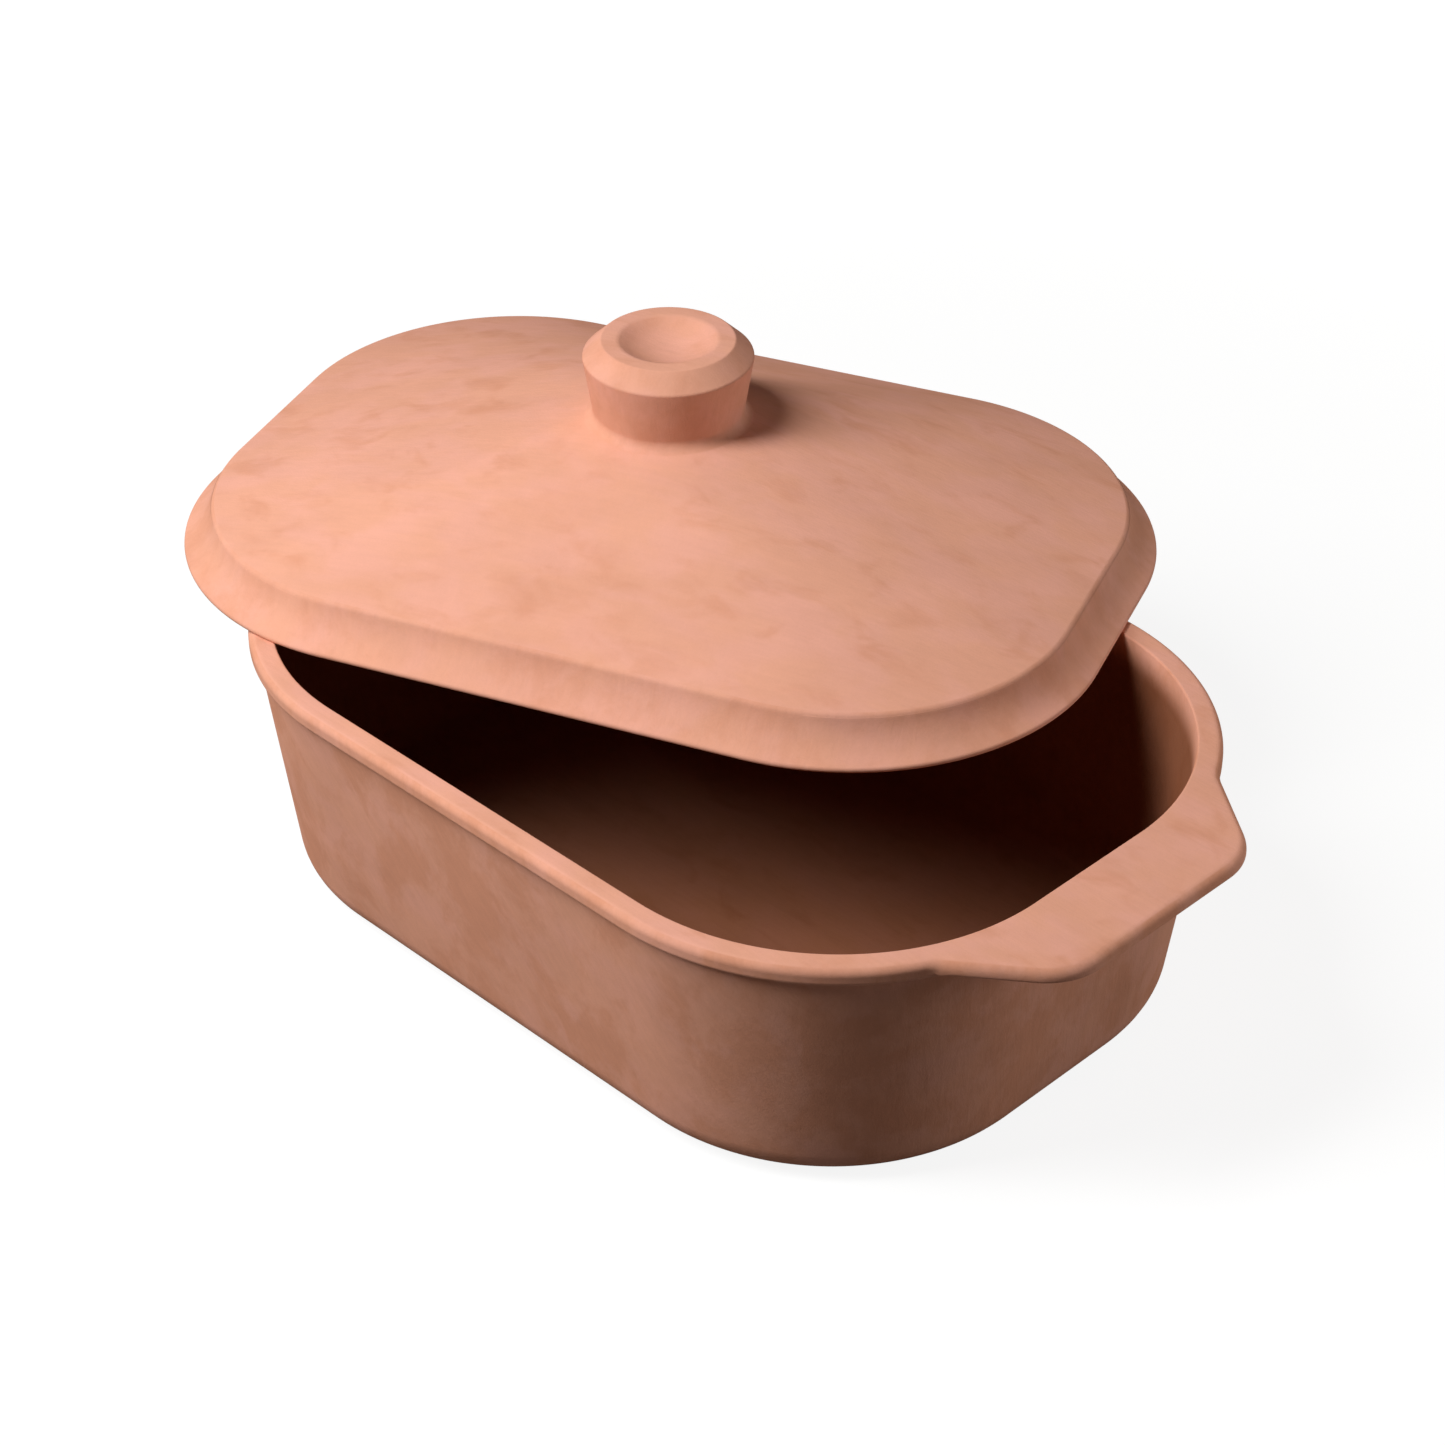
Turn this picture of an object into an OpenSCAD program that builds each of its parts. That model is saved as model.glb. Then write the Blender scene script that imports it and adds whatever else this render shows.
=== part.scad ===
// Clay roaster: an oblong unglazed dish with two end handles, and its domed lid.
// The lid lies on the rim, turned and pushed back, so that the dish stands half open.
// Origin: middle of the dish's underside. X runs along the dish, Z up.

/* [Dish] */
// Length over the rim, without the handles
dish_length = 330; // [300:1:380]
// Width over the rim
dish_width = 234.3; // [210:0.1:270]
// Height of the rim above the underside
dish_height = 94.5; // [60:0.5:140]
// Radius of the rim's corners, seen from above
dish_corner_r = 92.3; // [75:0.1:100]
// Thickness of the side walls
wall_t = 5.8; // [4:0.1:9]
// Thickness of the floor
floor_t = 7; // [4:0.5:14]
// How far the walls lean in from the rim down to the base
wall_lean = 10.6; // [2:0.1:20]
// Rounding where the wall turns under the base
base_r = 13; // [6:0.5:20]
// Rounding where the inside of the wall meets the floor
floor_r = 14; // [6:0.5:20]

/* [Rim] */
// How far the rim band stands out from the wall
rim_overhang = 2.5; // [2:0.1:5]
// Depth of the rim band
rim_depth = 6.3; // [5:0.1:12]
// Rounding of the band's upper outer edge
rim_top_r = 2.6; // [1:0.1:3]
// Rounding of the band's lower edge
rim_low_r = 1.6; // [0.5:0.1:1.6]
// Hollow rounding between the band and the wall
rim_root_r = 0.3; // [0.1:0.1:0.4]
// Rounding of the mouth's edge
mouth_r = 0.8; // [0.3:0.1:1.5]

/* [Handles] */
// How far a handle stands out past the end of the rim
handle_reach = 22.8; // [16:0.1:32]
// Width of a handle's tip, measured before its corners are rounded
handle_tip_w = 84.6; // [70:0.1:100]
// Angle between a handle's flanks and the length of the dish
handle_flank_angle = 37.6; // [28:0.1:45]
// Radius of a handle's corners, seen from above
handle_corner_r = 23; // [8:0.5:26]
// Thickness of a handle, flush with the top of the rim
handle_t = 4.9; // [4.8:0.1:8]
// Rounding of a handle's edges
handle_edge_r = 2.3; // [1:0.1:2.3]

/* [Lid] */
// How far the lid's edge stands out past the rim, when it is closed
lid_overhang = 0.6; // [0:0.1:3]
// How much smaller the radius of the lid's corners is than the rim's
lid_corner_less = 2.5; // [0:0.1:5]
// Rounding of the lid's outer edge
lid_edge_r = 1.3; // [0.8:0.1:2]
// How far the upper edge of the hollow bevel lies in from the lid's edge
bevel_inset = 10.5; // [8:0.1:16]
// Height of that upper edge above the lid's underside
bevel_h = 15.6; // [13:0.1:20]
// Slope of the bevel at its foot
bevel_foot_angle = 24; // [10:1:35]
// Rise of the crown, from the bevel up to the foot of the knob
crown_rise = 33.8; // [20:0.1:45]
// Thickness of the crown, measured upright
crown_t = 8; // [5:0.5:12]
// Width of the flat ring under the lid, which lies on the rim
seat_w = 13; // [11:0.5:18]
// How far the side of the hollow leans in above that ring
hollow_lean = 5; // [2:0.5:8]

/* [Knob] */
// Diameter at the foot
knob_foot_d = 51.6; // [40:0.1:56]
// Greatest diameter
knob_d = 58.8; // [57:0.1:70]
// Diameter of the flat top, inside the chamfer
knob_top_d = 46; // [40:0.1:54]
// Height of the leaning side
knob_side_h = 22.4; // [15:0.1:30]
// Height of the chamfer above the side
knob_chamfer_h = 6; // [2:0.1:9]
// Diameter of the hollow in the top
dimple_d = 34; // [20:0.5:38]
// Depth of that hollow
dimple_depth = 5.5; // [2:0.5:10]
// Rounding between the knob and the crown
knob_root_r = 4; // [1:0.5:8]
// Rounding of the knob's own edges
knob_edge_r = 1.2; // [0.4:0.1:1.5]

/* [Resting place of the lid] */
// Turn of the lid on the dish, seen from above
lid_turn = 22.3; // [15:0.1:30]
// How far the lid is pushed towards the far handle
lid_shift_x = 71.2; // [60:0.1:80]
// How far the lid is pushed over the far side
lid_shift_y = 44.7; // [35:0.1:50]

/* [Hidden] */
$fn = 144;
// Steps along each rounded edge of a section
arc_steps = 8;
// Steps along the hollow of the bevel
bevel_steps = 12;
// How far solids reach into each other where they fuse
fuse = 1;
// Facets round a handle's corners
handle_fn = 64;
clay = [0.90, 0.66, 0.54];

// The wall from the outside in: band, wall, mouth
rim_w = rim_overhang + wall_t;
wall_top_z = dish_height - rim_depth;
wall_angle = atan(wall_lean / wall_top_z);

// Middles of the rounded corners of the dish
dish_core = [dish_length - 2 * dish_corner_r, dish_width - 2 * dish_corner_r];

// The lid covers the rim, so its outline follows the rim's
lid_length = dish_length + 2 * lid_overhang;
lid_width = dish_width + 2 * lid_overhang;
lid_corner_r = dish_corner_r - lid_corner_less;
lid_core = [lid_length - 2 * lid_corner_r, lid_width - 2 * lid_corner_r];
crown_top = bevel_h + crown_rise;
// Slope of the crown across the lid, where it is steepest
crown_slope = atan(crown_rise / (lid_width / 2 - bevel_inset - knob_foot_d / 2));

// Point p moved by distance d in the direction of angle a
function polar(p, d, a) = [p.x + d * cos(a), p.y + d * sin(a)];
function unit(v) = v / norm(v);
// Turn from angle a to angle b, the short way round
function short_turn(a, b) = ((b - a + 540) % 360) - 180;

// Points of an arc about centre c, from angle a over the given turn
function arc(c, r, a, turn, steps) =
    [for (i = [0 : steps]) polar(c, r, a + turn * i / steps)];

// The corner b of the path a, b, c, rounded with radius r
function round_corner(a, b, c, r) =
    let (
        u = unit(a - b),
        v = unit(c - b),
        half = acos(u * v) / 2,
        centre = b + unit(u + v) * r / sin(half),
        p = b + u * r / tan(half) - centre,
        q = b + v * r / tan(half) - centre,
        start = atan2(p.y, p.x)
    )
    arc(centre, r, start, short_turn(start, atan2(q.y, q.x)), arc_steps);

// A closed outline from corners [x, y, radius]
function rounded(corners) =
    let (
        n = len(corners),
        at = [for (k = corners) [k[0], k[1]]]
    )
    [for (i = [0 : n - 1])
        each corners[i][2] > 0
            ? round_corner(at[(i + n - 1) % n], at[i], at[(i + 1) % n], corners[i][2])
            : [at[i]]];

// Sweeps a section round a core rectangle: its x points outwards from the core, its y up
module sweep_round(core) {
    for (k = [0 : 3]) {
        along = k % 2 == 0 ? core.x : core.y;
        across = k % 2 == 0 ? core.y : core.x;
        rotate(90 * k) translate([along / 2, across / 2, 0]) {
            rotate_extrude(angle = 90) children();
            rotate([90, 0, 0]) linear_extrude(across) children();
        }
    }
}

// Flat outline of a rectangle with round corners
module round_rect(length, width, r) {
    square([length, width - 2 * r], center = true);
    square([length - 2 * r, width], center = true);
    for (x = [-1, 1], y = [-1, 1])
        translate([x * (length / 2 - r), y * (width / 2 - r)]) circle(r);
}

// Section through the dish, from the core line outwards
module dish_section() {
    wall_top = dish_corner_r - rim_overhang;
    mouth = dish_corner_r - rim_w;
    inner_foot = mouth - (dish_height - floor_t) * tan(wall_angle);
    polygon(rounded([
        [0, 0, 0],
        [wall_top - wall_lean, 0, base_r],
        [wall_top, wall_top_z, rim_root_r],
        [dish_corner_r, wall_top_z, rim_low_r],
        [dish_corner_r, dish_height, rim_top_r],
        [mouth, dish_height, mouth_r],
        [inner_foot, floor_t, floor_r],
        [0, floor_t, 0]
    ]));
}

// A flat disc with a rounded edge
module handle_disc() {
    rotate_extrude($fn = handle_fn) polygon(rounded([
        [0, 0, 0],
        [handle_corner_r, 0, handle_edge_r],
        [handle_corner_r, handle_t, handle_edge_r],
        [0, handle_t, 0]
    ]));
}

// Plate at the +X end, with a tapered outline and rounded corners and edges
module handle_plate() {
    corner = [
        dish_length / 2 + handle_reach - handle_corner_r,
        handle_tip_w / 2 - handle_corner_r * tan(45 - handle_flank_angle / 2)
    ];
    // The flanks run on into the rim
    root = polar(corner, handle_reach + rim_w, 180 - handle_flank_angle);
    hull() for (at = [corner, root], side = [-1, 1])
        translate([at.x, side * at.y, 0]) handle_disc();
}

// A handle, cut off inside the rim
module handle() {
    inset = rim_w / 2;
    translate([0, 0, dish_height - handle_t]) difference() {
        handle_plate();
        translate([0, 0, -fuse]) linear_extrude(handle_t + 2 * fuse)
            round_rect(dish_length - 2 * inset, dish_width - 2 * inset, dish_corner_r - inset);
    }
}

module dish() {
    color(clay) {
        sweep_round(dish_core) dish_section();
        translate([0, 0, floor_t / 2]) cube([dish_core.x, dish_core.y, floor_t], center = true);
        for (end = [0, 1]) mirror([end, 0, 0]) handle();
    }
}

// Section through the lid's border: flat underside, rounded edge and hollow bevel
module border_section() {
    foot = bevel_foot_angle;
    edge = arc([lid_corner_r - lid_edge_r, lid_edge_r], lid_edge_r, -90, 180 - foot, arc_steps);
    low = edge[arc_steps];
    high = [lid_corner_r - bevel_inset, bevel_h];
    chord = atan2(high.y - low.y, low.x - high.x);
    bevel_r = norm(high - low) / 2 / sin(chord - foot);
    centre = polar(low, bevel_r, 90 - foot);
    bevel = arc(centre, bevel_r, 270 - foot, -2 * (chord - foot), bevel_steps);
    polygon(concat([[0, 0]], edge, bevel, [[0, bevel_h]]));
}

// Smooth transition from the border's outline up to the round foot of the knob
module crown(inset, z, top_z) {
    hull() {
        translate([0, 0, z - fuse]) linear_extrude(fuse)
            round_rect(lid_length - 2 * inset, lid_width - 2 * inset, lid_corner_r - inset);
        translate([0, 0, top_z - fuse]) cylinder(d = knob_foot_d, h = fuse);
    }
}

// The hollow under the lid, inside the flat ring
module lid_hollow() {
    hull() {
        translate([0, 0, -fuse]) linear_extrude(fuse)
            round_rect(lid_length - 2 * seat_w, lid_width - 2 * seat_w, lid_corner_r - seat_w);
        crown(seat_w + hollow_lean, bevel_h - crown_t, crown_top - crown_t);
    }
}

module knob() {
    foot_r = knob_foot_d / 2;
    side_angle = atan((knob_d - knob_foot_d) / 2 / knob_side_h);
    // Middle of the rounding that joins the side to the crown
    half = (90 - side_angle + crown_slope) / 2;
    root = polar([foot_r, crown_top], knob_root_r / sin(half), (90 - side_angle - crown_slope) / 2);
    root_arc = arc(root, knob_root_r, 270 - crown_slope, crown_slope - 90 - side_angle, arc_steps);
    top_z = crown_top + knob_side_h + knob_chamfer_h;
    dimple_r = dimple_d / 2;
    ball_r = (dimple_r * dimple_r + dimple_depth * dimple_depth) / (2 * dimple_depth);
    dimple_turn = asin(dimple_r / ball_r);
    dimple = arc([0, top_z + ball_r - dimple_depth], ball_r, dimple_turn - 90, -dimple_turn, arc_steps);
    rotate_extrude() polygon(concat(
        [[0, crown_top - crown_t / 2], [foot_r, crown_top - crown_t / 2]],
        root_arc,
        round_corner([foot_r, crown_top], [knob_d / 2, crown_top + knob_side_h],
            [knob_top_d / 2, top_z], knob_edge_r),
        round_corner([knob_d / 2, crown_top + knob_side_h], [knob_top_d / 2, top_z],
            [0, top_z], knob_edge_r),
        dimple
    ));
}

// The lid by itself, with its underside at the height 0
module lid_form() {
    difference() {
        union() {
            sweep_round(lid_core) border_section();
            translate([0, 0, bevel_h / 2]) cube([lid_core.x, lid_core.y, bevel_h], center = true);
            crown(bevel_inset, bevel_h, crown_top);
        }
        lid_hollow();
    }
    knob();
}

// The flat ring under the lid lies on the rim
module lid() {
    color(clay) translate([-lid_shift_x, lid_shift_y, dish_height]) rotate(lid_turn) lid_form();
}

dish();
lid();
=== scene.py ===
import bpy
import math
import numpy as np
from mathutils import Matrix, Vector


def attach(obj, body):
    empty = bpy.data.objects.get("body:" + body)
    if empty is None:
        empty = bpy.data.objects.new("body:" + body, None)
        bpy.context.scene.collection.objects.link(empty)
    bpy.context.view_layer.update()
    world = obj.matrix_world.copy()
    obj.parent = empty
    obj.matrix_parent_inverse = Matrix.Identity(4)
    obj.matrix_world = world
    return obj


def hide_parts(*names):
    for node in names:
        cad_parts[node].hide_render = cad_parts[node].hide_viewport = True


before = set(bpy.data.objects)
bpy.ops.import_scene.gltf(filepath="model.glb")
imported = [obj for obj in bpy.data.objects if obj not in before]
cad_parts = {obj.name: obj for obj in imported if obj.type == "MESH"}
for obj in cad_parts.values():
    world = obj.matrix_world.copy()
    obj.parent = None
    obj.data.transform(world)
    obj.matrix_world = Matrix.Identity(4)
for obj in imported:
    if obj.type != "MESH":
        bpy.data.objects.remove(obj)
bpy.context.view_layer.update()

# Sizes in millimetres and degrees, as in the part's source unless a line says otherwise
MM = 0.001
DISH = {"length": 330.0, "width": 234.3, "height": 94.5, "corner": 92.3, "wall": 5.8, "floor": 7.0,
        "lean": 10.6, "base_r": 13.0, "floor_r": 14.0}
RIM = {"over": 2.5, "depth": 6.3, "top_r": 2.6, "low_r": 1.6, "root_r": 0.3, "mouth_r": 0.8}
# The last five are the scene's own: roundings of the handle's edges, and of its roots in band and rim
HANDLE = {"reach": 22.8, "tip": 84.6, "angle": 37.6, "corner": 23.0, "t": 4.9,
          "top_r": 3.5, "low_r": 1.1, "root_r": 1.2, "band_r": 0.9, "flank_root": 1.0}
# The scene's own are foot, the bevel's angle there, and the roundings of crest, hollow, mouth and ceiling
LID = {"over": 0.6, "less": 2.5, "edge_r": 1.3, "inset": 10.5, "h": 15.6, "foot": 30.0, "crest_r": 2.4,
       "rise": 33.8, "t": 8.0, "seat": 13.0, "lean": 5.0, "hollow_r": 4.0, "mouth_r": 1.5,
       "ceiling_run": 3.15, "turn": 22.3, "x": -71.2, "y": 44.7}
# The rounding of the dimple's lip is the scene's own
KNOB = {"foot": 51.6, "d": 58.8, "top": 46.0, "side": 22.4, "chamfer": 6.0, "dimple": 34.0, "deep": 5.5,
        "root_r": 4.0, "edge_r": 1.2, "lip_r": 4.0}
KNOB_Z = LID["h"] + LID["rise"]

# How far past the rim the edge has the handle's roundings, and the face is folded in under the plate
EDGE_RUN, FOLD_RUN = 1.5, 1.2
# Angles round a corner of the dish, as start, stop and step; the finest are where a flank leaves the rim
DISH_ANGLES = ((0, 25.8, 0.6), (25.8, 31, 0.2), (31, 42, 0.6), (42, 90.01, 1.2))
LID_ANGLES = ((0, 90.01, 1.5),)
# The dish's first and last ring lie this far from its core, and one flat face fills each of them
CAP = 30.0
# A corner needs only the direction of the lines that meet there, so a point this far along is enough
AIM = 10.0

# Display colour of the clay, and what the inside of the dish keeps of it as painted shade
CLAY = (226, 165, 141)
INSIDE_PAINTED_SHADE = (0.34, 0.265, 0.20)
# What the patches keep of the clay's colour
TAN, ROSY, BROWN = (0.985, 0.970, 0.945), (1.012, 1.005, 1.060), (0.88, 0.80, 0.72)

# The photograph's camera: angles in degrees, distance and target in millimetres
CAMERA = {"azimuth": -45.158, "elevation": 34.836, "roll": 0.119, "distance": 1129.56,
          "target": (-8.989, 8.643, 62.145), "focal_px": 3315.76, "photo_px": 1445, "sensor": 36}


# Drawing helpers
def unit(v):
    return v / np.linalg.norm(v)


def arc(centre, r, a, b, n):
    """n + 1 points about centre, from angle a to angle b in degrees."""
    t = np.radians(np.linspace(a, b, n + 1))
    return np.c_[centre[0] + r * np.cos(t), centre[1] + r * np.sin(t)]


def line(p, q, n, ends=False):
    """n points between p and q; with ends, p and q too."""
    t = np.linspace(0, 1, n + 2)[:, None]
    out = np.asarray(p, float) * (1 - t) + np.asarray(q, float) * t
    return out if ends else out[1:-1]


def corner(a, b, c, r, n):
    """The corner b of the path a, b, c, rounded with radius r."""
    a, b, c = (np.asarray(p, float) for p in (a, b, c))
    u, v = unit(a - b), unit(c - b)
    half = math.acos(float(np.clip(u @ v, -1, 1))) / 2
    centre = b + unit(u + v) * r / math.sin(half)
    p, q = b + u * r / math.tan(half) - centre, b + v * r / math.tan(half) - centre
    start = math.degrees(math.atan2(p[1], p[0]))
    turn = (math.degrees(math.atan2(q[1], q[0])) - start + 540) % 360 - 180
    return arc(centre, r, start, start + turn, n)


def smooth(x):
    """0 below 0, 1 above 1 and a soft step between."""
    x = np.clip(x, 0.0, 1.0)
    return x * x * (3 - 2 * x)


def last_inside(outside, n, lo, hi):
    """For n searches at once, the value between lo and hi at which outside turns true."""
    lo, hi = np.full(n, float(lo)), np.full(n, float(hi))
    for _ in range(50):
        mid = (lo + hi) / 2
        out = outside(mid)
        hi = np.where(out, mid, hi)
        lo = np.where(out, lo, mid)
    return (lo + hi) / 2


def stations(a, b, end_steps, side_steps, spans):
    """Core points and outward angles round a rounded rectangle, counterclockwise, from its +X +Y corner on.
    a and b: half the length and width of its core.
    spans: angles round a corner, from the end of the rectangle towards its side."""
    angles = np.concatenate([np.arange(*span) for span in spans])
    core, ang = [], []
    quarter = [(+1, +1, 0), (-1, +1, 90), (-1, -1, 180), (+1, -1, 270)]
    for k, (sx, sy, base) in enumerate(quarter):
        turn = angles if k % 2 == 0 else [90 - t for t in reversed(angles)]
        for t in turn:
            core.append((sx * a, sy * b))
            ang.append(base + t)
        nx, ny, _ = quarter[(k + 1) % 4]
        steps = side_steps if k % 2 == 0 else end_steps
        for p in line((sx * a, sy * b), (nx * a, ny * b), steps):
            core.append(tuple(p))
            ang.append(base + 90)
    return np.array(core), np.radians(np.array(ang))


def skin(name, rings, node, material):
    """A closed mesh from rings of equal length, capped at both ends, in place of a CAD node."""
    rings = np.asarray(rings, float) * MM
    n_ring, n = rings.shape[0], rings.shape[1]
    i = np.arange(n)
    j = (i + 1) % n
    faces = []
    for k in range(n_ring - 1):
        lo, hi = k * n, (k + 1) * n
        faces.extend(np.c_[lo + i, lo + j, hi + j, hi + i].tolist())
    faces.append(i[::-1].tolist())
    faces.append(((n_ring - 1) * n + i).tolist())
    mesh = bpy.data.meshes.new(name)
    mesh.from_pydata(rings.reshape(-1, 3).tolist(), [], faces)
    mesh.update()
    mesh.polygons.foreach_set("use_smooth", [True] * len(mesh.polygons))
    mesh.materials.append(material)
    obj = bpy.data.objects.new(name, mesh)
    bpy.context.scene.collection.objects.link(obj)
    weighted = obj.modifiers.new("normals", "WEIGHTED_NORMAL")
    weighted.mode = "FACE_AREA"
    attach(obj, "root")
    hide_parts(node)


# The dish
DISH_A, DISH_B = DISH["length"] / 2 - DISH["corner"], DISH["width"] / 2 - DISH["corner"]
BAND_Z = DISH["height"] - RIM["depth"]
WALL_SLOPE = DISH["lean"] / BAND_Z


def handle_outline(core, ang):
    """How far the handle's outline lies from the core, along each outward line."""
    reach = DISH["length"] / 2 + HANDLE["reach"] - HANDLE["corner"]
    tan_part = math.tan(math.radians(45 - HANDLE["angle"] / 2))
    tip = (reach, HANDLE["tip"] / 2 - HANDLE["corner"] * tan_part)
    way = math.radians(180 - HANDLE["angle"])
    flank = 60.0
    ex, ey = flank * math.cos(way), flank * math.sin(way)

    def outside(d):
        """Whether a point d from the core lies outside the plate, whose corners are rounded about its tip."""
        x, y = np.abs(core[:, 0] + d * np.cos(ang)), np.abs(core[:, 1] + d * np.sin(ang))
        t = np.clip(((x - tip[0]) * ex + (y - tip[1]) * ey) / (ex * ex + ey * ey), 0, 1)
        gap = np.hypot(x - tip[0] - t * ex, y - tip[1] - t * ey)
        side = (x - tip[0]) * ey - (y - tip[1]) * ex
        gap = np.where((y < tip[1]) & (x >= tip[0]), x - tip[0], gap)
        gap = np.where((x < tip[0]) & (side < 0), 0.0, gap)
        return gap > HANDLE["corner"]

    nearest, farthest = 40, 140
    return last_inside(outside, len(ang), nearest, farthest)


def handle_underside(reach):
    """Section of the handle from its lower edge, along the plate's underside, to its root in the rim band."""
    R, out = DISH["corner"], reach - DISH["corner"]
    low_r, root_r = min(HANDLE["low_r"], 0.45 * out), min(HANDLE["root_r"], 0.25 * out)
    plate_z = DISH["height"] - HANDLE["t"]
    return np.vstack([arc((reach - low_r, plate_z + low_r), low_r, 0, -90, 8),
                      line((reach - low_r, plate_z), (R + root_r, plate_z), 6),
                      arc((R + root_r, plate_z - root_r), root_r, 90, 160, 4)])


def dish_section(reach):
    """Section of the dish from the middle of the floor, over the rim, to the middle of the underside.
    reach is where the outer edge lies: the rim's radius, or more at a handle."""
    R, H = DISH["corner"], DISH["height"]
    mouth = R - RIM["over"] - DISH["wall"]
    foot = (mouth - (H - DISH["floor"]) * WALL_SLOPE, DISH["floor"])
    out = reach - R
    at_handle = float(smooth(out / EDGE_RUN))
    top_r = RIM["top_r"] * (1 - at_handle) + HANDLE["top_r"] * at_handle
    band_r = RIM["low_r"] * (1 - at_handle) + HANDLE["band_r"] * at_handle
    inner = corner((0, foot[1]), foot, (mouth, H), DISH["floor_r"], 12)
    lip = corner(foot, (mouth, H), (reach, H), RIM["mouth_r"], 6)
    top = arc((reach - top_r, H - top_r), top_r, 90, 0, 9)
    # At the rim the face goes straight down; at a handle it turns in under the plate
    face_points = 20
    z = line((0, top[-1][1]), (0, BAND_Z + band_r), face_points)[:, 1]
    face = np.c_[np.full(face_points, reach), z]
    if out > 0:
        folded = float(smooth(out / FOLD_RUN))
        face = face * (1 - folded) + handle_underside(reach) * folded
    band = arc((R - band_r, BAND_Z + band_r), band_r, 0, -90, 7)
    wall_top = (R - RIM["over"], BAND_Z)
    base = (wall_top[0] - DISH["lean"], 0.0)
    root = corner((R, BAND_Z), wall_top, base, RIM["root_r"], 4)
    turn = corner(wall_top, base, (0, 0), DISH["base_r"], 12)
    flat = 1.5
    return np.vstack([
        [[CAP, foot[1]], [inner[0][0] - flat, foot[1]]], inner, line(inner[-1], lip[0], 10), lip,
        line(lip[-1], top[0], 7), top, face, band, root, line(root[-1], turn[0], 10), turn,
        [[turn[-1][0] - flat, 0.0], [CAP, 0.0]]])


def dish_rings():
    """Points of the dish, ring by ring: each ring is one point of the section, all the way round."""
    core, ang = stations(DISH_A, DISH_B, 13, 28, DISH_ANGLES)
    # Only lines that point well towards an end can meet a handle
    near_end = np.abs(np.cos(ang)) > 0.75
    reach = np.where(near_end, handle_outline(core, ang), 0.0)
    # The flanks run softly into the rim
    R, soft = DISH["corner"], HANDLE["flank_root"]
    near = np.clip(soft - np.abs(reach - R), 0, None)
    reach = np.maximum(reach, R) + near * near / (4 * soft)
    sections = np.array([dish_section(d) for d in reach])
    x = core[:, 0][:, None] + sections[:, :, 0] * np.cos(ang)[:, None]
    y = core[:, 1][:, None] + sections[:, :, 0] * np.sin(ang)[:, None]
    return np.stack([x, y, sections[:, :, 1]], axis=2).transpose(1, 0, 2)


# The lid
class Plan:
    """The lid's outline from above, and rings drawn after it: parallel to the outline, or round the knob."""

    def __init__(self):
        self.r = DISH["corner"] - LID["less"]
        self.a = DISH["length"] / 2 + LID["over"] - self.r
        self.b = DISH["width"] / 2 + LID["over"] - self.r
        self.core, ang = stations(self.a, self.b, 13, 36, LID_ANGLES)
        self.normal = np.c_[np.cos(ang), np.sin(ang)]
        outline = self.core + self.normal * self.r
        self.radial = outline / np.linalg.norm(outline, axis=1)[:, None]

    def ring(self, offset, z):
        """Parallel to the outline, offset from the core."""
        spread = np.reshape(offset, (-1, 1))
        return np.c_[self.core + self.normal * spread, np.broadcast_to(z, len(self.core))]

    def circle(self, r, z):
        return np.c_[self.radial * np.reshape(r, (-1, 1)), np.broadcast_to(z, len(self.core))]

    def slopes(self, direction, edge):
        """How steeply the crown climbs along each direction, from a foot that lies edge from the core."""
        support = self.a * np.abs(direction[:, 0]) + self.b * np.abs(direction[:, 1]) + edge
        return LID["rise"] / (support - KNOB["foot"] / 2)

    def loft(self, start, end, n, edge, low, high, soften=0):
        """n rings on the taut surface between a rounded rectangle, edge from the core at the height low,
        and the knob's foot at the height high. soften: how often the heights of each ring are averaged."""
        foot_r = KNOB["foot"] / 2
        rings = []
        for t in np.linspace(0, 1, n + 2)[1:-1]:
            p = start * (1 - t) + end * t

            def outside(s):
                x = np.maximum(np.abs(p[:, 0]) - (1 - s) * self.a, 0)
                y = np.maximum(np.abs(p[:, 1]) - (1 - s) * self.b, 0)
                return np.hypot(x, y) > edge + s * (foot_r - edge)

            # The surface's outline shrinks on the way up, so a point outside of it is reached lower down
            z = low + last_inside(outside, len(p), 0, 1) * (high - low)
            for _ in range(soften):
                z = (np.roll(z, 1) + 2 * z + np.roll(z, -1)) / 4
            rings.append(np.c_[p, z])
        return rings


def section_rings(draw, sections):
    """Rings from one section for each station, whose points give distance and height."""
    return [draw(sections[:, k, 0], sections[:, k, 1]) for k in range(sections.shape[1])]


def hollow(plan):
    """The lid from below: level ceiling, dome and slanting side, down to the flat ring."""
    foot_r, top = KNOB["foot"] / 2, KNOB_Z - LID["t"]
    r, z = plan.r - LID["seat"] - LID["lean"], LID["h"] - LID["t"]
    seat = (plan.r - LID["seat"], 0)
    ceiling = np.array([corner((0, top), (foot_r, top), (foot_r + AIM, top - AIM * s),
                               LID["ceiling_run"] / math.tan(math.atan(s) / 2), 6)
                        for s in plan.slopes(plan.radial, r)])
    side = np.array([np.vstack([corner((r - AIM, z + AIM * s), (r, z), seat, LID["hollow_r"], 6),
                                corner((r, z), seat, (plan.r, 0), LID["mouth_r"], 5)])
                     for s in plan.slopes(plan.normal, r)])
    start = ceiling[:, -1, 0][:, None] * plan.radial
    dome = plan.loft(start, plan.core + plan.normal * r, 14, r, z, top)
    middle = plan.circle(12.0, top)
    return [middle, *section_rings(plan.circle, ceiling), *dome, *section_rings(plan.ring, side)]


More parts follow.
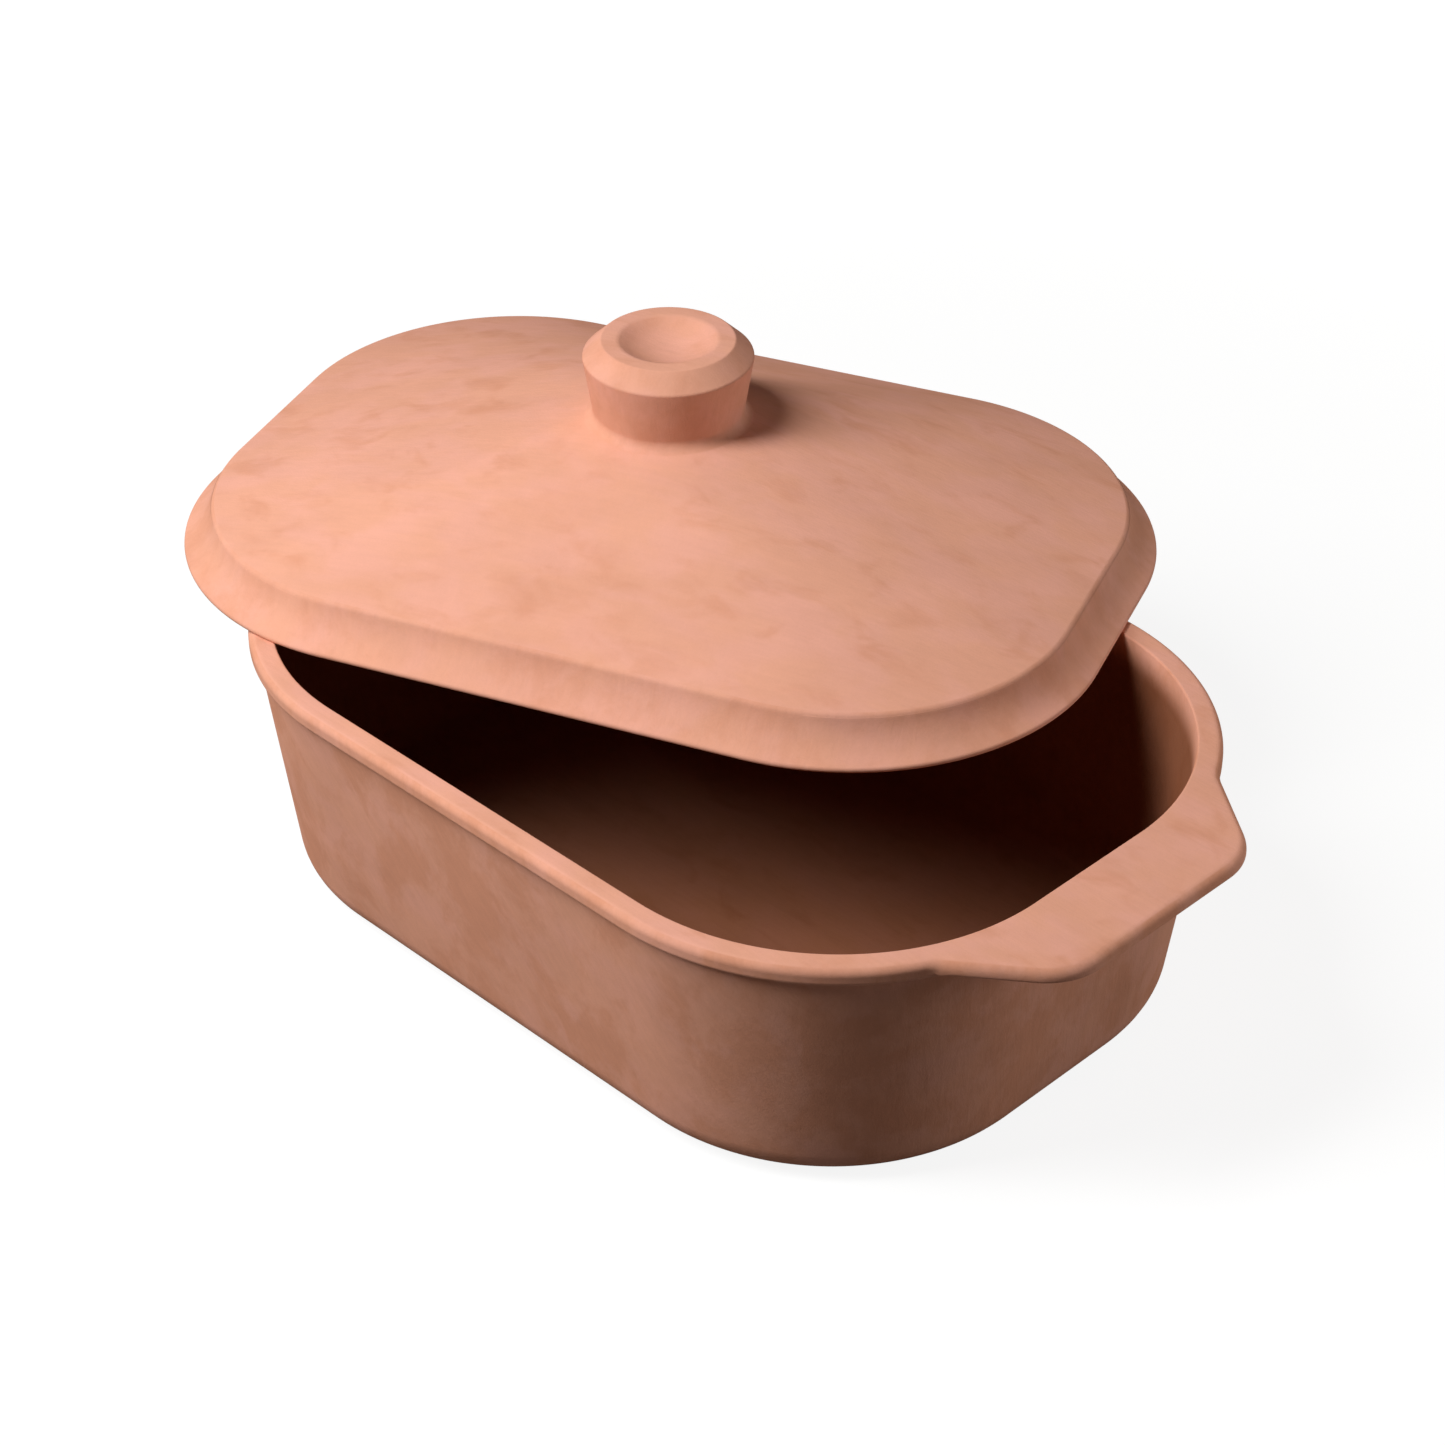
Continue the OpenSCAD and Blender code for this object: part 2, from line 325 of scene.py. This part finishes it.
def bevel(plan):
    """The flat ring, the rounded edge, the hollow bevel and the rounded crest above it."""
    r, e, foot = plan.r, LID["edge_r"], LID["foot"]
    edge = arc((r - e, e), e, -90, 90 - foot, 10)
    low, high = edge[-1], np.array([r - LID["inset"], LID["h"]])
    chord = math.degrees(math.atan2(high[1] - low[1], low[0] - high[0]))
    bend = 2 * (chord - foot)
    bevel_r = np.linalg.norm(high - low) / 2 / math.sin(math.radians(bend / 2))
    up = math.radians(90 - foot)
    centre = low + bevel_r * np.array([math.cos(up), math.sin(up)])
    face = arc(centre, bevel_r, 270 - foot, 270 - foot - bend, 16)
    ring_inner = (r - LID["seat"] + 3, 0)
    profile = np.vstack([line(ring_inner, edge[0], 3), edge, face[1:-1]])
    steep = math.radians(foot + bend)
    below = high + AIM * np.array([math.cos(steep), -math.sin(steep)])
    crest = np.array([corner(below, high, (high[0] - AIM, high[1] + AIM * s), LID["crest_r"], 5)
                      for s in plan.slopes(plan.normal, r - LID["inset"])])
    return [*(plan.ring(*p) for p in profile), *section_rings(plan.ring, crest)]


def knob_profile(foot):
    """Section of the knob, up its side, over the chamfer and into the dimple.
    foot is where the rounding round the knob's root ends."""
    z_side = KNOB_Z + KNOB["side"]
    root, shoulder = np.array([KNOB["foot"] / 2, KNOB_Z]), np.array([KNOB["d"] / 2, z_side])
    rim = np.array([KNOB["top"] / 2, z_side + KNOB["chamfer"]])
    dimple_r = KNOB["dimple"] / 2
    ball = (dimple_r * dimple_r + KNOB["deep"] ** 2) / (2 * KNOB["deep"])
    centre = (0, rim[1] + ball - KNOB["deep"])
    edge = math.asin(dimple_r / ball)
    inward = (dimple_r - AIM * math.cos(edge), rim[1] - AIM * math.sin(edge))
    lip = corner(rim, (dimple_r, rim[1]), inward, KNOB["lip_r"], 5)
    # The dimple begins 3 degrees inside its lip and ends 2.5 degrees from its middle, which one face fills
    return np.vstack([
        line(foot, shoulder + (root - shoulder) * 0.06, 5),
        corner(root, shoulder, rim, KNOB["edge_r"], 6),
        line(shoulder + (rim - shoulder) * 0.12, rim + (shoulder - rim) * 0.12, 2, ends=True),
        corner(shoulder, rim, (0, rim[1]), KNOB["edge_r"], 6),
        line((rim[0] - 1, rim[1]), lip[0], 1), lip,
        arc(centre, ball, 270 + math.degrees(edge) - 3, 272.5, 9)])


def crown(plan, crest):
    """From the crest up the crown, round the knob's root and over the knob."""
    foot_r, edge = KNOB["foot"] / 2, plan.r - LID["inset"]
    shoulder = (KNOB["d"] / 2, KNOB_Z + KNOB["side"])
    root = np.array([corner((foot_r + AIM, KNOB_Z - AIM * s), (foot_r, KNOB_Z), shoulder, KNOB["root_r"], 10)
                     for s in plan.slopes(plan.radial, edge)])
    end = plan.radial * root[:, 0, 0][:, None]
    # The clay runs softly over from the flat fields to the round corners
    rise = plan.loft(crest[:, :2], end, 24, edge, LID["h"], KNOB_Z, soften=60)
    knob = knob_profile(root[:, -1].mean(axis=0))
    return [*rise, *section_rings(plan.circle, root), *(plan.circle(*p) for p in knob)]


def lid_rings():
    """Points of the lid, ring by ring, from the middle of its ceiling to the middle of the knob's dimple."""
    plan = Plan()
    outer = bevel(plan)
    rings = np.array([*hollow(plan), *outer, *crown(plan, outer[-1])])
    t = math.radians(LID["turn"])
    x = LID["x"] + rings[:, :, 0] * math.cos(t) - rings[:, :, 1] * math.sin(t)
    y = LID["y"] + rings[:, :, 0] * math.sin(t) + rings[:, :, 1] * math.cos(t)
    return np.stack([x, y, rings[:, :, 2] + DISH["height"]], axis=2)


# Fired clay
def lin(rgb):
    """Linear colour from 0-255 display values."""
    return tuple(((v / 255 + 0.055) / 1.055) ** 2.4 if v > 10 else v / 255 / 12.92 for v in rgb)


class Shader:
    """The nodes of one material or of the world, made and linked one after another."""

    def __init__(self, owner):
        owner.use_nodes = True
        self.tree = owner.node_tree
        self.tree.nodes.clear()

    def node(self, kind, inputs, **settings):
        """A new node. Each of its inputs takes the output of another node, or a plain value."""
        made = self.tree.nodes.new("ShaderNode" + kind)
        for key, value in settings.items():
            setattr(made, key, value)
        for key, value in inputs.items():
            if isinstance(value, bpy.types.NodeSocket):
                self.tree.links.new(value, made.inputs[key])
            else:
                made.inputs[key].default_value = value
        return made

    def maths(self, kind, *values):
        return self.node("Math", dict(enumerate(values)), operation=kind).outputs[0]

    def remap(self, value, low, high, to_low=0.0, to_high=1.0):
        """A soft step from to_low to to_high, while value goes from low to high."""
        inputs = {"Value": value, "From Min": low, "From Max": high, "To Min": to_low, "To Max": to_high}
        return self.node("MapRange", inputs, interpolation_type="SMOOTHSTEP").outputs["Result"]

    def mix_value(self, factor, a, b):
        """a where factor is 0, b where it is 1."""
        return self.node("Mix", {0: factor, 2: a, 3: b}, data_type="FLOAT").outputs[0]

    def mix_colour(self, factor, a, b):
        """As mix_value, with colours."""
        return self.node("Mix", {0: factor, 6: a, 7: b}, data_type="RGBA").outputs[2]

    def place(self):
        """The point that is shaded, in metres."""
        return self.node("TexCoord", {}).outputs["Object"]

    def turned_back(self, vector, angles):
        """The vector, as seen from axes that are turned by these angles in degrees."""
        inputs = {"Vector": vector, "Rotation": [math.radians(v) for v in angles]}
        return self.node("VectorRotate", inputs, rotation_type="EULER_XYZ", invert=True).outputs[0]

    def noise(self, scale, detail, rough, turned=(0, 0, 0), stretch=(1, 1, 1), shift=0.0, warp=0.0):
        """Cloudy noise on turned axes; the smaller its stretch along one of them, the longer it is there."""
        moved = (shift, shift * 0.7, shift * 1.3)
        inputs = {0: self.turned_back(self.place(), turned), "Location": moved, "Scale": stretch}
        at = self.node("Mapping", inputs).outputs[0]
        inputs = {"Vector": at, "Scale": scale, "Detail": detail, "Roughness": rough, "Distortion": warp}
        return self.node("TexNoise", inputs).outputs["Fac"]


def wiping_marks(shader, turn, lean):
    """Fine marks of the hand that wiped the clay, and how level the face is, from 0 to 1.
    They run along the length on level faces, and down the upright ones, where lean tilts them."""
    thin, upright = 620.0, 496.0
    level, on_side, on_end = (0, 0, turn), (0, lean, turn), (-lean * 0.2, 0, turn)
    level_marks = shader.noise(thin, 3, 0.6, level, stretch=(0.07, 1, 1), shift=7.1)
    side_marks = shader.noise(upright, 4, 0.6, on_side, stretch=(1, 0.3, 0.2), shift=3.3, warp=0.5)
    end_marks = shader.noise(upright, 4, 0.6, on_end, stretch=(0.3, 1, 0.2), shift=5.9, warp=0.5)
    normal = shader.turned_back(shader.node("NewGeometry", {}).outputs["Normal"], level)
    x, y, z = (shader.maths("ABSOLUTE", v) for v in shader.node("SeparateXYZ", {0: normal}).outputs)
    is_end = shader.remap(shader.maths("SUBTRACT", x, y), -0.25, 0.25)
    is_level = shader.remap(z, 0.86, 0.96)
    upright_marks = shader.mix_value(is_end, side_marks, end_marks)
    return shader.mix_value(is_level, upright_marks, level_marks), is_level


def patches(shader, turn, is_level, wall_brown_and_shade):
    """The clay's colour, between tan and rosy, with browner patches from the fire.
    wall_brown_and_shade: how brown upright faces are, at least and at most; the least, laid over all of them,
    is painted shade, the rest fire patches."""
    level = (0, 0, turn)
    pink = shader.noise(38.0, 3, 0.5, level, stretch=(1, 1.5, 1.5), shift=1.9, warp=0.3)
    spot = shader.noise(46.0, 3, 0.54, level, stretch=(1, 1.7, 1.7), shift=4.7, warp=0.5)
    scorch = shader.noise(44.0, 6, 0.64, level, stretch=(1, 1, 0.75), shift=2.2, warp=0.3)
    tan, rosy, brown = ((*(c * kept for c, kept in zip(lin(CLAY), part)), 1) for part in (TAN, ROSY, BROWN))
    # Upright faces are browner than level ones: partly fire patches, partly painted shade
    upright = shader.remap(scorch, 0.42, 0.66, *wall_brown_and_shade)
    brownness = shader.mix_value(is_level, upright, shader.remap(spot, 0.49, 0.77, 0.0, 0.75))
    shade = shader.mix_colour(shader.remap(pink, 0.38, 0.66), tan, rosy)
    return shader.mix_colour(brownness, shade, brown)


def painted_shade_inside(shader):
    """Where the inside is given painted shade: 0 outside the dish and at its rim, rising to 1 inside it, 12
    mm below the rim.
    """
    parts = shader.node("SeparateXYZ", {0: shader.place()}).outputs
    x, y, z = (shader.maths("MULTIPLY", v, 1 / MM) for v in parts)
    squares = []
    for v, half in ((x, DISH_A), (y, DISH_B)):
        past_core = shader.maths("MAXIMUM", shader.maths("SUBTRACT", shader.maths("ABSOLUTE", v), half), 0.0)
        squares.append(shader.maths("MULTIPLY", past_core, past_core))
    from_core = shader.maths("SQRT", shader.maths("ADD", *squares))
    # Half-way through the wall, at this height
    foot = DISH["corner"] - RIM["over"] - DISH["wall"] / 2 - DISH["lean"]
    middle = shader.maths("ADD", shader.maths("MULTIPLY", z, WALL_SLOPE), foot)
    within = shader.remap(shader.maths("SUBTRACT", middle, from_core), -0.5, 0.5)
    above_base = shader.remap(z, DISH["floor"] * 0.3, DISH["floor"] * 0.7)
    below_rim = shader.remap(z, DISH["height"] - 12.0, DISH["height"] - 0.6, 1.0, 0.0)
    return shader.maths("MULTIPLY", shader.maths("MULTIPLY", within, above_base), below_rim)


def clay(name, turn, lean, wall_brown_and_shade, wall_marks, paint_inside_shade=False):
    """Matte unglazed clay with faint clouds, browner patches and fine marks.
    turn: how the piece is turned about Z; lean: how its marks tilt on upright faces; both in degrees.
    wall_brown_and_shade and wall_marks: how strong these are there, the first partly painted shade;
    paint_inside_shade: painted shade, darker and browner inside the dish."""
    material = bpy.data.materials.new(name)
    shader = Shader(material)
    level = (0, 0, turn)
    cloud = shader.noise(24.0, 4, 0.55, level, stretch=(1, 1.7, 1.7), shift=0.3, warp=0.5)
    lumps = shader.noise(170.0, 3, 0.55, level, stretch=(1, 1.3, 1.3), shift=2.6)
    grain = shader.noise(1500.0, 2, 0.6)
    marks, is_level = wiping_marks(shader, turn, lean)

    shade = patches(shader, turn, is_level, wall_brown_and_shade)
    # Painted shade: the inside of the dish is made darker and browner, from 12 mm below the rim down
    if paint_inside_shade:
        dark = shader.node("VectorMath", {0: shade, 1: INSIDE_PAINTED_SHADE}, operation="MULTIPLY").outputs[0]
        shade = shader.mix_colour(painted_shade_inside(shader), shade, dark)
    level_marks = 0.6
    strength = shader.remap(is_level, 0.0, 1.0, wall_marks, level_marks)
    fibres = shader.maths("MULTIPLY", shader.remap(marks, 0.3, 0.7, -0.024, 0.024), strength)
    tone = shader.maths("ADD", shader.remap(cloud, 0.3, 0.7, -0.03, 0.03), fibres)
    tone = shader.maths("ADD", tone, shader.remap(grain, 0.3, 0.7, -0.012, 0.012))
    gain = shader.maths("ADD", tone, 1.0)
    colour = shader.node("VectorMath", {0: shade, "Scale": gain}, operation="SCALE").outputs[0]

    relief = shader.maths("ADD", shader.maths("MULTIPLY", marks, 0.6), shader.maths("MULTIPLY", grain, 0.3))
    relief = shader.maths("ADD", relief, shader.maths("MULTIPLY", lumps, 0.5))
    bump = shader.node("Bump", {"Strength": 0.4, "Distance": 0.0004, "Height": relief})
    surface = shader.node("BsdfPrincipled", {"Base Color": colour, "Roughness": 0.92,
                                             "Specular IOR Level": 0.03, "Normal": bump.outputs[0]})
    shader.node("OutputMaterial", {0: surface.outputs[0]})
    return material


# Floor, world, lamps, camera
def direction(azimuth, elevation):
    """Unit vector at these angles in degrees, the azimuth counterclockwise from +X."""
    az, el = math.radians(azimuth), math.radians(elevation)
    return Vector((math.cos(az) * math.cos(el), math.sin(az) * math.cos(el), math.sin(el)))


def add_floor():
    """The ground: white where the lamps no longer reach, with the object's soft shadow near it."""
    just_below = (0, 0, -0.0002)
    bpy.ops.mesh.primitive_circle_add(vertices=96, radius=3.0, fill_type="NGON", location=just_below)
    floor = bpy.context.object
    floor.name = "Floor"
    material = bpy.data.materials.new("Floor")
    shader = Shader(material)
    away = shader.node("VectorMath", {0: shader.place()}, operation="LENGTH").outputs["Value"]
    white = shader.remap(away, 0.3, 0.9, 0.885, 1.0)
    seen = shader.node("LightPath", {}).outputs["Is Camera Ray"]
    glow = shader.node("Emission", {0: (1, 1, 1, 1), 1: shader.maths("MULTIPLY", seen, white)})
    lit = shader.node("BsdfDiffuse", {0: (0.16, 0.16, 0.16, 1)})
    both = shader.node("AddShader", {0: lit.outputs[0], 1: glow.outputs[0]})
    shader.node("OutputMaterial", {0: both.outputs[0]})
    floor.data.materials.append(material)


def add_world():
    """White where it is seen, and otherwise a faint warm light from all sides."""
    world = bpy.data.worlds.new("World")
    scene.world = world
    shader = Shader(world)
    rays = shader.node("LightPath", {}).outputs
    seen = shader.maths("MAXIMUM", rays["Is Camera Ray"], rays["Is Glossy Ray"])
    seen = shader.maths("MAXIMUM", seen, rays["Is Transmission Ray"])
    ambient = shader.node("Background", {0: (1.0, 0.45, 0.2, 1), 1: 0.04})
    white = shader.node("Background", {0: (1, 1, 1, 1), 1: 1.0})
    mixed = shader.node("MixShader", {0: seen, 1: ambient.outputs[0], 2: white.outputs[0]})
    shader.node("OutputWorld", {0: mixed.outputs[0]})


def softbox(name, azimuth, elevation, distance, wide, tall, level, colour):
    """A soft lamp aimed at the middle of the object. wide and tall: the angles it fills, in degrees;
    level 1 shows a surface that faces it in that surface's own colour."""
    out = direction(azimuth, elevation)
    data = bpy.data.lights.new(name, "AREA")
    data.shape = "RECTANGLE"
    data.size = 2 * distance * math.tan(math.radians(wide / 2))
    data.size_y = 2 * distance * math.tan(math.radians(tall / 2))
    data.energy = level * (math.pi * distance) ** 2
    data.color = colour
    lamp = bpy.data.objects.new(name, data)
    scene.collection.objects.link(lamp)
    lamp.location = Vector((0, 0, 0.09)) + out * distance
    lamp.rotation_mode = "QUATERNION"
    lamp.rotation_quaternion = out.to_track_quat("Z", "Y")


def add_camera():
    """The photograph's camera, as fitted to the edges of the rim, the base and the lid."""
    lens = bpy.data.cameras.new("Camera")
    lens.sensor_width = CAMERA["sensor"]
    lens.lens = CAMERA["sensor"] * CAMERA["focal_px"] / CAMERA["photo_px"]
    lens.clip_start, lens.clip_end = 0.05, 20
    camera = bpy.data.objects.new("Camera", lens)
    scene.collection.objects.link(camera)
    back = direction(CAMERA["azimuth"], CAMERA["elevation"])
    roll = math.radians(CAMERA["roll"])
    right = (-back).cross(Vector((0, 0, 1))).normalized()
    up = back.cross(right)
    turned = right * math.cos(roll) + up * math.sin(roll)
    raised = up * math.cos(roll) - right * math.sin(roll)
    place = Matrix((turned, raised, back)).transposed().to_4x4()
    place.translation = (Vector(CAMERA["target"]) + back * CAMERA["distance"]) * MM
    camera.matrix_world = place
    scene.camera = camera


scene = bpy.context.scene
scene.view_settings.view_transform = "Standard"
dish_clay = clay("dish_clay", 0, -36, wall_brown_and_shade=(0.35, 1.15), wall_marks=1.0, paint_inside_shade=True)
lid_clay = clay("lid_clay", LID["turn"], 0, wall_brown_and_shade=(0.1, 0.7), wall_marks=0.6)
skin("Dish", dish_rings(), "dish", dish_clay)
skin("Lid", lid_rings(), "lid", lid_clay)
add_floor()
add_world()
softbox("Key", 246, 49.5, distance=1.15, wide=16, tall=40, level=1.29, colour=(0.98, 1.0, 0.99))
softbox("Fill", 38, 9, distance=0.8, wide=24, tall=24, level=0.275, colour=(0.98, 0.99, 0.96))
add_camera()
